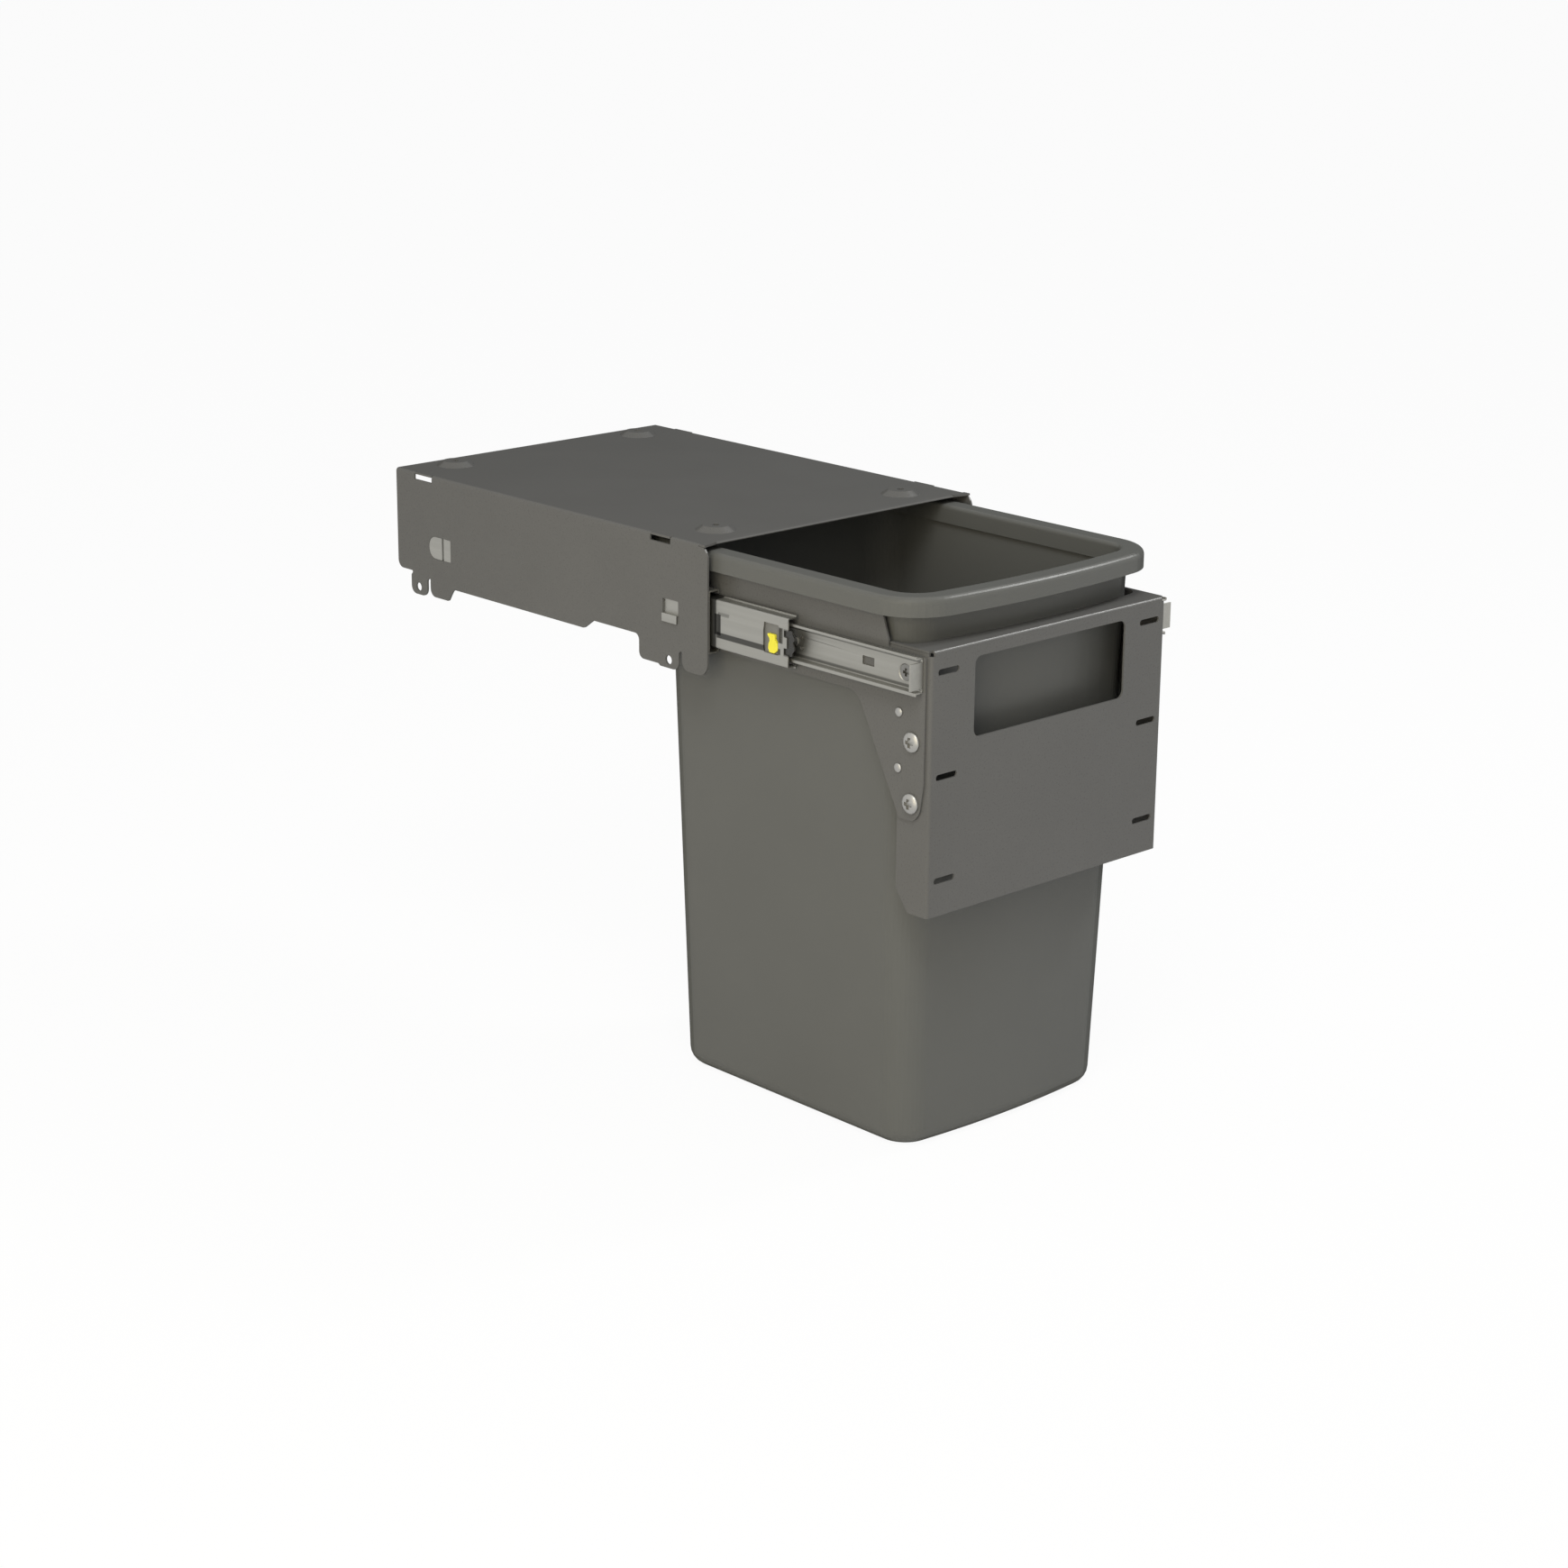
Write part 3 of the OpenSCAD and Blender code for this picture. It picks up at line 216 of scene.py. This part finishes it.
def painted_shade(tree, place, base, shade_boxes):
    """A base colour with painted shade laid over it in boxes. Each box holds its middle, its half lengths,
    how dark it is and the width of its soft rim. Where boxes overlap they darken each other."""
    shade = 1.0
    for middle, half, dark, soft in shade_boxes:
        off = add_node(tree, "ShaderNodeVectorMath", {0: place, 1: middle}, operation="SUBTRACT").outputs[0]
        off = add_node(tree, "ShaderNodeVectorMath", {0: off}, operation="ABSOLUTE").outputs[0]
        off = add_node(tree, "ShaderNodeVectorMath", {0: off, 1: half}, operation="SUBTRACT").outputs[0]
        off = add_node(tree, "ShaderNodeVectorMath", {0: off, 1: (0, 0, 0)}, operation="MAXIMUM").outputs[0]
        away = add_node(tree, "ShaderNodeVectorMath", {0: off}, operation="LENGTH").outputs["Value"]
        fade = {"Value": away, "From Min": 0, "From Max": soft, "To Min": 1 - dark, "To Max": 1.0}
        clear = add_node(tree, "ShaderNodeMapRange", fade, interpolation_type="SMOOTHSTEP").outputs["Result"]
        shade = add_node(tree, "ShaderNodeMath", {0: clear, 1: shade}, operation="MULTIPLY").outputs[0]
    return add_node(tree, "ShaderNodeVectorMath", {0: base, "Scale": shade}, operation="SCALE").outputs[0]


def zinc_plated_steel(look, name="zinc_plated_steel", shade_boxes=()):
    """Cold rolled strip, roll formed and zinc plated. It gives a bright, slightly warm silver with faint
    lines along the slide that stretch the highlights lengthwise. The lines are drawn wider than real ones,
    to show. Painted shade darkens the plate inside the shade boxes."""
    made, tree, place = new_material(name)
    stretched = (1, 1 / LINE_STRETCH, 1)
    along = add_node(tree, "ShaderNodeMapping", {"Vector": place, "Scale": stretched}).outputs["Vector"]
    rough, normal = grained(
        tree, along, grain=look.lines, detail=3.0, rough=(0.44, 0.54), depth=look.lines * 0.008, strength=0.4
    )
    plated = tone(tree, along, look.zinc, spread=0.04, grain=look.lines * 4)
    shader = add_node(
        tree,
        "ShaderNodeBsdfPrincipled",
        {
            "Base Color": painted_shade(tree, place, plated, shade_boxes) if shade_boxes else plated,
            "Metallic": 1.0,
            "Roughness": rough,
            "Normal": normal,
        },
    )
    add_node(tree, "ShaderNodeOutputMaterial", {"Surface": shader.outputs[0]})
    return made


def plain_metal(name, base, rough_range, grain):
    """A metal surface without a direction: base colour, roughness range and the size of its blotches."""
    made, tree, place = new_material(name)
    rough, normal = grained(
        tree, place, grain=grain, detail=3.0, rough=rough_range, depth=grain * 0.01, strength=0.3
    )
    shader = add_node(
        tree,
        "ShaderNodeBsdfPrincipled",
        {
            "Base Color": tone(tree, place, base, spread=0.05, grain=grain * 3),
            "Metallic": 1.0,
            "Roughness": rough,
            "Normal": normal,
        },
    )
    add_node(tree, "ShaderNodeOutputMaterial", {"Surface": shader.outputs[0]})
    return made


def moulded_plastic(name, base, rough_range, grain, level=0.5):
    """A small moulding: base colour, roughness range, and grain from the tool."""
    made, tree, place = new_material(name)
    rough, normal = grained(
        tree, place, grain=grain, detail=2.0, rough=rough_range, depth=grain * 0.02, strength=0.3
    )
    shader = add_node(
        tree,
        "ShaderNodeBsdfPrincipled",
        {
            "Base Color": tone(tree, place, base, spread=0.02, grain=grain * 10),
            "Roughness": rough,
            "Specular IOR Level": gloss(tree, level),
            "Normal": normal,
        },
    )
    add_node(tree, "ShaderNodeOutputMaterial", {"Surface": shader.outputs[0]})
    return made


made_once = {}


def shared(make, look):
    """The material of a finish that several pieces have, made the first time it is asked for."""
    if make.__name__ not in made_once:
        made_once[make.__name__] = make(look)
    return made_once[make.__name__]


def dress(names, material, edge=0.0):
    """Gives CAD nodes their material and rounds their sharp edges by edge."""
    for name in names:
        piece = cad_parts[name]
        piece.data.materials.clear()
        piece.data.materials.append(material)
        if edge:
            weld = piece.modifiers.new("join_faces", "WELD")
            weld.merge_threshold = SAME_POINT
            rounding = piece.modifiers.new("edge_rounding", "BEVEL")
            rounding.width = edge
            rounding.segments = 2
            rounding.limit_method = "ANGLE"
            rounding.angle_limit = SHARP
            rounding.miter_outer = "MITER_ARC"
            normals = piece.modifiers.new("even_normals", "WEIGHTED_NORMAL")
            normals.keep_sharp = True


# Settings that a user would change


class SheetSteelLook(bpy.types.PropertyGroup):
    """Paint of the folded sheet"""

    paint: colour("Paint", "Powder coat of the housing, side plates and door bracket", "#626261")
    peel: length("Orange peel", "Width of the ripples in the powder coat", 1.4)
    drift: length("Drift", "Width of the patches over which the paint changes tone", 70)
    edge: length("Edge rounding", "Radius of the paint over cut edges", 0.4)


class SlideLook(bpy.types.PropertyGroup):
    """Metals of the two slides"""

    zinc: colour("Zinc", "Zinc plate on the slide members", "#a3a29c")
    cage: colour("Cage steel", "Bare strip of the ball cages", "#96948d")
    ball: colour("Ball steel", "Polished steel of the balls", "#c4c4c2")
    lines: length("Rolled lines", "Spacing of the lines that rolling leaves along the strip", 0.9)
    edge: length("Edge rounding", "Radius of the sheared edges", 0.15)


class PlasticLook(bpy.types.PropertyGroup):
    """Plastics and rubber of the mouldings"""

    bucket: colour("Bucket", "Moulded plastic of the bucket", "#626361")
    latch_block: colour("Latch block", "Plastic of the latch blocks", "#727270")
    front_guide: colour("Front guide", "Plastic of the guides at the front of the middle members", "#282826")
    lever: colour("Lever", "Plastic of the release levers", "#efe540")
    rubber: colour("Rubber", "Rubber of the rear bumpers", "#1e1e1e")
    grain: length("Grain", "Width of the grain on the bucket", 1.2)
    drift: length("Drift", "Width of the patches over which the bucket changes tone", 90)


class FastenerLook(bpy.types.PropertyGroup):
    """Plate of the small hardware"""

    plate: colour("Plate", "Zinc plate of the screws, nuts, rivets and pins", "#aaa9a5")
    # The dark plate is painted shade: a darker copy of the plate for the sunk screws, which sit in
    # countersinks
    dark: colour("Dark plate", "Passivated plate of the sunk screws in the slides", "#83827e")


class StudioLook(bpy.types.PropertyGroup):
    """Camera, lamps and floor"""

    camera_place: bpy.props.FloatVectorProperty(
        name="Camera place",
        description="Where the camera stands, from the middle of the top screws",
        subtype="TRANSLATION",
        unit="LENGTH",
        default=(-1.62974, -1.85494, 0.51322),
    )
    camera_yaw: angle("Camera yaw", "How far the camera looks to the right of straight back", 43.273)
    camera_pitch: angle("Camera pitch", "How far the camera looks down", 17.042)
    camera_roll: angle("Camera roll", "How far the camera leans to its left", 0.516)
    lens: bpy.props.FloatProperty(
        name="Lens", description=f"Focal length in mm, for a sensor {SENSOR_MM} mm wide", default=76.48
    )
    ambient: bpy.props.FloatProperty(
        name="Ambient", description="Even light from all round", default=0.4, min=0
    )
    right: power("Right lamp", "Power of the small lamp high on the right", 11.4)
    glint: power("Glint lamp", "Power of the lamp that only draws lines of light on the folds", 24)
    over: power("Overhead lamp", "Power of the soft lamp high in front, on the left", 18.8)
    fill: power("Fill lamp", "Power of the wide warm lamp low on the left", 20.3)
    floor_half: length("Floor reach", "How far the white floor runs out on each side of the cabinet", 20000)


# Pieces


class TRASHCAB_OT_housing(bpy.types.Operator):
    """Paint the folded housing that hangs under the cabinet top"""

    bl_idname = "trashcab.housing"
    bl_label = "Housing"

    def execute(self, context):
        look = context.scene.trashcab_steel
        dress(["housing_cover"], shared(powder_coated_steel, look), look.edge)
        return {"FINISHED"}


def shade_box(front, level, start, end, bottom, top, dark, soft):
    """A box of painted shade on both slides, in millimetres behind a member's front end and above its middle
    line.
    """
    middle = (0, front + (start + end) / 2 * MM, level + (bottom + top) / 2 * MM)
    return middle, (BOTH_SLIDES, (end - start) / 2 * MM, (top - bottom) / 2 * MM), dark, soft * MM


class TRASHCAB_OT_slides(bpy.types.Operator):
    """Plate the three members of each slide, with bumpers of rubber at the back"""

    bl_idname = "trashcab.slides"
    bl_label = "Slide members"

    def execute(self, context):
        look = context.scene.trashcab_slides
        dress(sides("outer_member"), zinc_plated_steel(look), look.edge)

        # Painted shade round the raised panel of the middle member, in its slopes and behind it. In order,
        # the boxes are along the panel's foot, at its rear end, over its rear corner, on the stretch behind
        # it (painted shadow of the cover's edge), at its front end, and on the lower and upper corner of the
        # member's front end
        low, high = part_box("middle_member_left")
        front, level = low.y, (low.z + high.z) / 2
        panel = [
            shade_box(front, level, start=8, end=72, bottom=-9.2, top=-5.7, dark=0.77, soft=0.8),
            shade_box(front, level, start=68, end=74, bottom=-7, top=7, dark=0.8, soft=0.8),
            shade_box(front, level, start=60, end=70, bottom=7.4, top=8.2, dark=0.4, soft=1.5),
            shade_box(front, level, start=73.5, end=95, bottom=-20, top=20, dark=0.8, soft=1.5),
            shade_box(front, level, start=5.5, end=9.5, bottom=-1, top=9.5, dark=0.6, soft=0.5),
            shade_box(front, level, start=-1, end=4, bottom=-9, top=-4.5, dark=0.5, soft=1),
            shade_box(front, level, start=-1, end=4, bottom=4.5, top=9, dark=0.5, soft=1),
        ]
        dress(sides("middle_member"), zinc_plated_steel(look, "zinc_plated_panel_painted_shade", panel), look.edge)

        # Painted shade in a line along both edges of the inner member's web, under its rails, and in a ring
        # round the front screw, for the shaded wall of the countersink it sits in
        low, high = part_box("inner_member_left")
        front, level, whole = low.y, (low.z + high.z) / 2, (high.y - low.y) / MM
        screw = (sum(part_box("member_screws"), Vector()) / 2).yz
        spot = 0.3 * MM
        track = [
            shade_box(front, level, start=2, end=whole, bottom=8.9, top=9.9, dark=0.55, soft=1.1),
            shade_box(front, level, start=2, end=whole, bottom=-9.9, top=-8.9, dark=0.55, soft=1.1),
            ((0, *screw), (BOTH_SLIDES, spot, spot), 0.75, 7.5 * MM),
        ]
        dress(sides("inner_member"), zinc_plated_steel(look, "zinc_plated_track_painted_shade", track), look.edge)

        # Natural rubber with carbon black, moulded: dead black with hardly any shine
        black = context.scene.trashcab_plastic.rubber
        rubber = moulded_plastic("moulded_rubber", black, rough_range=(0.7, 0.85), grain=0.6 * MM, level=0.3)
        dress(sides("rear_bumper"), rubber, edge=0.3 * MM)
        return {"FINISHED"}


class TRASHCAB_OT_ball_cages(bpy.types.Operator):
    """Give the ball cages bare pressed steel and their balls a polish"""

    bl_idname = "trashcab.ball_cages"
    bl_label = "Ball cages and balls"

    def execute(self, context):
        look = context.scene.trashcab_slides
        # Bare strip, pressed and oiled: duller and darker than the plated members
        strip = plain_metal("pressed_steel_strip", look.cage, rough_range=(0.42, 0.55), grain=1 * MM)
        dress(sides("outer_cage", "inner_cage"), strip)
        # Through hardened and lapped: mirror bright
        lapped = plain_metal("lapped_bearing_steel", look.ball, rough_range=(0.08, 0.14), grain=2 * MM)
        dress(sides("outer_balls", "inner_balls"), lapped)
        return {"FINISHED"}


class TRASHCAB_OT_latches(bpy.types.Operator):
    """Give the latch blocks, front guides and release levers their moulded plastics"""

    bl_idname = "trashcab.latches"
    bl_label = "Latches and guides"

    def execute(self, context):
        look = context.scene.trashcab_plastic
        # Acetal, slippery and tough: a mid grey with a dull waxy sheen
        acetal = moulded_plastic("moulded_acetal", look.latch_block, rough_range=(0.4, 0.5), grain=GRAIN)
        # ABS in a polished tool: flat, strong yellow with a soft gloss
        abs_yellow = moulded_plastic(
            "moulded_abs_yellow", look.lever, rough_range=(0.3, 0.4), grain=GRAIN, level=0.4
        )
        # The same acetal with carbon black in it: nearly black, with light only on its rounded bumps
        black_acetal = moulded_plastic(
            "moulded_black_acetal", look.front_guide, rough_range=(0.25, 0.32), grain=GRAIN
        )
        dress(sides("latch_block"), acetal, edge=0.15 * MM)
        dress(sides("front_guide"), black_acetal, edge=0.3 * MM)
        dress(sides("release_lever", "lever_pin"), abs_yellow, edge=0.2 * MM)
        return {"FINISHED"}


class TRASHCAB_OT_carriage(bpy.types.Operator):
    """Paint the carriage's side plates and the crossbar behind the bucket"""

    bl_idname = "trashcab.carriage"
    bl_label = "Carriage"

    def execute(self, context):
        look = context.scene.trashcab_steel
        dress([*sides("side_plate"), "rear_crossbar"], shared(powder_coated_steel, look), look.edge)
        return {"FINISHED"}


class TRASHCAB_OT_door_bracket(bpy.types.Operator):
    """Paint the folded bracket that takes the cabinet door"""

    bl_idname = "trashcab.door_bracket"
    bl_label = "Door bracket"

    def execute(self, context):
        look = context.scene.trashcab_steel
        dress(["door_bracket"], shared(powder_coated_steel, look), look.edge)
        return {"FINISHED"}


class TRASHCAB_OT_fasteners(bpy.types.Operator):
    """Plate the screws, nuts, rivets and pins"""

    bl_idname = "trashcab.fasteners"
    bl_label = "Fasteners"

    def execute(self, context):
        # Headed cold and zinc plated: a bright silver, with soft edges that catch the light
        look = context.scene.trashcab_fasteners
        plated = plain_metal("zinc_plated_screw", look.plate, rough_range=(0.38, 0.5), grain=0.8 * MM)
        names = ["member_nuts", "bracket_screws", "bracket_nuts", "locating_pins"]
        dress([*names, "crossbar_rivets", "member_rivets"], plated, HARDWARE_EDGE)
        # The sunk screws get a darker copy of the plate: painted shade for the countersinks they sit in
        dark = plain_metal("zinc_plated_screw_painted_shade", look.dark, rough_range=(0.3, 0.4), grain=0.8 * MM)
        dress(["member_screws"], dark, HARDWARE_EDGE)
        return {"FINISHED"}


class TRASHCAB_OT_bucket(bpy.types.Operator):
    """Mould the bucket in grey plastic"""

    bl_idname = "trashcab.bucket"
    bl_label = "Bucket"

    def execute(self, context):
        look = context.scene.trashcab_plastic
        dress(["bucket"], moulded_polypropylene(look))
        return {"FINISHED"}


# Studio


def area_lamp(name, target, watts, tint, direction, distance, size, in_gloss_only=False):
    """A square lamp that stands off in a direction from target and faces it. One seen in gloss only draws
    lines of light along folds and rims and leaves the flat faces as they are."""
    lamp = bpy.data.lights.new(name, "AREA")
    lamp.shape, lamp.size, lamp.energy, lamp.color = "SQUARE", size, watts, tint
    holder = bpy.data.objects.new(name, lamp)
    holder.location = target + Vector(direction).normalized() * distance
    holder.rotation_euler = (target - holder.location).to_track_quat("-Z", "Y").to_euler()
    holder.visible_diffuse = not in_gloss_only
    bpy.context.scene.collection.objects.link(holder)


def shown_white(tree, lit, keep):
    """Plain white to the eye, in gloss and through glass, with keep of the lit surface left for shadows."""
    rays = add_node(tree, "ShaderNodeLightPath").outputs
    eye_or_gloss = {0: rays["Is Camera Ray"], 1: rays["Is Glossy Ray"]}
    seen = add_node(tree, "ShaderNodeMath", eye_or_gloss, operation="MAXIMUM").outputs[0]
    or_glass = {0: seen, 1: rays["Is Transmission Ray"]}
    seen = add_node(tree, "ShaderNodeMath", or_glass, operation="MAXIMUM").outputs[0]
    share = add_node(tree, "ShaderNodeMath", {0: seen, 1: 1 - keep}, operation="MULTIPLY").outputs[0]
    white = add_node(
        tree,
        "ShaderNodeBackground" if lit.bl_idname == "ShaderNodeBackground" else "ShaderNodeEmission",
        {"Color": linear("#ffffff", 1), "Strength": 1.0},
    )
    return add_node(tree, "ShaderNodeMixShader", {0: share, 1: lit.outputs[0], 2: white.outputs[0]})


class TRASHCAB_OT_studio(bpy.types.Operator):
    """Set up the white floor, the soft lamps and the camera"""

    bl_idname = "trashcab.studio"
    bl_label = "Studio"

    def execute(self, context):
        look, scene = context.scene.trashcab_studio, context.scene
        low, high = cad_box
        middle = (low + high) / 2

        world = bpy.data.worlds.new("studio")
        scene.world = world
        world.use_nodes = True
        tree = world.node_tree
        tree.nodes.clear()
        even_white = {"Color": linear("#ffffff", 1), "Strength": look.ambient}
        shown = shown_white(tree, add_node(tree, "ShaderNodeBackground", even_white), keep=0.0)
        add_node(tree, "ShaderNodeOutputWorld", {"Surface": shown.outputs[0]})

        mesh = bpy.data.meshes.new("floor")
        half = look.floor_half
        square = ((-1, -1), (1, -1), (1, 1), (-1, 1))
        corners = [(middle.x + x * half, middle.y + y * half, low.z) for x, y in square]
        mesh.from_pydata(corners, [], [(0, 1, 2, 3)])
        floor = bpy.data.objects.new("floor", mesh)
        scene.collection.objects.link(floor)
        # Matt paper: white, with the faintest shadows
        paper, tree, _ = new_material("white_paper")
        matt = add_node(tree, "ShaderNodeBsdfDiffuse", {"Color": linear("#fcfcfc", 1)})
        shown = shown_white(tree, matt, keep=0.06)
        add_node(tree, "ShaderNodeOutputMaterial", {"Surface": shown.outputs[0]})
        mesh.materials.append(paper)

        white, warm = linear("#ffffff"), linear("#fff2d2")
        high_right, high_front, low_left = (0.66, -0.29, 0.70), (-0.42, -0.42, 0.80), (-0.8, -0.38, 0.27)
        area_lamp("right", middle, look.right, white, high_right, distance=2.2, size=0.3)
        area_lamp("glint", middle, look.glint, white, high_right, distance=2.2, size=0.7, in_gloss_only=True)
        area_lamp("over", middle, look.over, linear("#fffffb"), high_front, distance=2.4, size=0.9)
        area_lamp("fill", middle, look.fill, warm, low_left, distance=2.4, size=1.6)

        yaw, pitch, roll = look.camera_yaw, look.camera_pitch, look.camera_roll
        ahead = Vector((math.sin(yaw) * math.cos(pitch), math.cos(yaw) * math.cos(pitch), -math.sin(pitch)))
        level = Vector((math.cos(yaw), -math.sin(yaw), 0))
        down = ahead.cross(level)
        across = math.cos(roll) * level - math.sin(roll) * down
        down = math.sin(roll) * level + math.cos(roll) * down
        camera = bpy.data.objects.new("camera", bpy.data.cameras.new("camera"))
        camera.data.sensor_width, camera.data.lens = SENSOR_MM, look.lens
        camera.data.clip_start, camera.data.clip_end = 0.05, 50
        turned = Matrix((across, -down, -ahead)).transposed().to_4x4()
        camera.matrix_world = Matrix.Translation(Vector(look.camera_place)) @ turned
        scene.collection.objects.link(camera)
        scene.camera = camera
        scene.view_settings.view_transform = "Standard"
        return {"FINISHED"}


class TRASHCAB_PT_panel(bpy.types.Panel):
    """Lists the pieces of the cabinet and the studio"""

    bl_idname = "TRASHCAB_PT_panel"
    bl_label = "Pull Out Trash Cabinet"
    bl_space_type = "VIEW_3D"
    bl_region_type = "UI"
    bl_category = "Trash Cabinet"

    def draw(self, context):
        column = self.layout.column(align=True)
        for step in OPERATORS:
            column.operator(step.bl_idname)


OPERATORS = (
    TRASHCAB_OT_housing,
    TRASHCAB_OT_slides,
    TRASHCAB_OT_ball_cages,
    TRASHCAB_OT_latches,
    TRASHCAB_OT_carriage,
    TRASHCAB_OT_door_bracket,
    TRASHCAB_OT_fasteners,
    TRASHCAB_OT_bucket,
    TRASHCAB_OT_studio,
)
SETTINGS = {
    "trashcab_steel": SheetSteelLook,
    "trashcab_slides": SlideLook,
    "trashcab_plastic": PlasticLook,
    "trashcab_fasteners": FastenerLook,
    "trashcab_studio": StudioLook,
}


def register():
    for kind in (*SETTINGS.values(), *OPERATORS, TRASHCAB_PT_panel):
        bpy.utils.register_class(kind)
    for name, kind in SETTINGS.items():
        setattr(bpy.types.Scene, name, bpy.props.PointerProperty(type=kind))


def unregister():
    for name in SETTINGS:
        delattr(bpy.types.Scene, name)
    for kind in reversed((*SETTINGS.values(), *OPERATORS, TRASHCAB_PT_panel)):
        bpy.utils.unregister_class(kind)


def main():
    register()
    for step in OPERATORS:
        group, name = step.bl_idname.split(".")
        getattr(getattr(bpy.ops, group), name)()


if __name__ == "__main__":
    main()
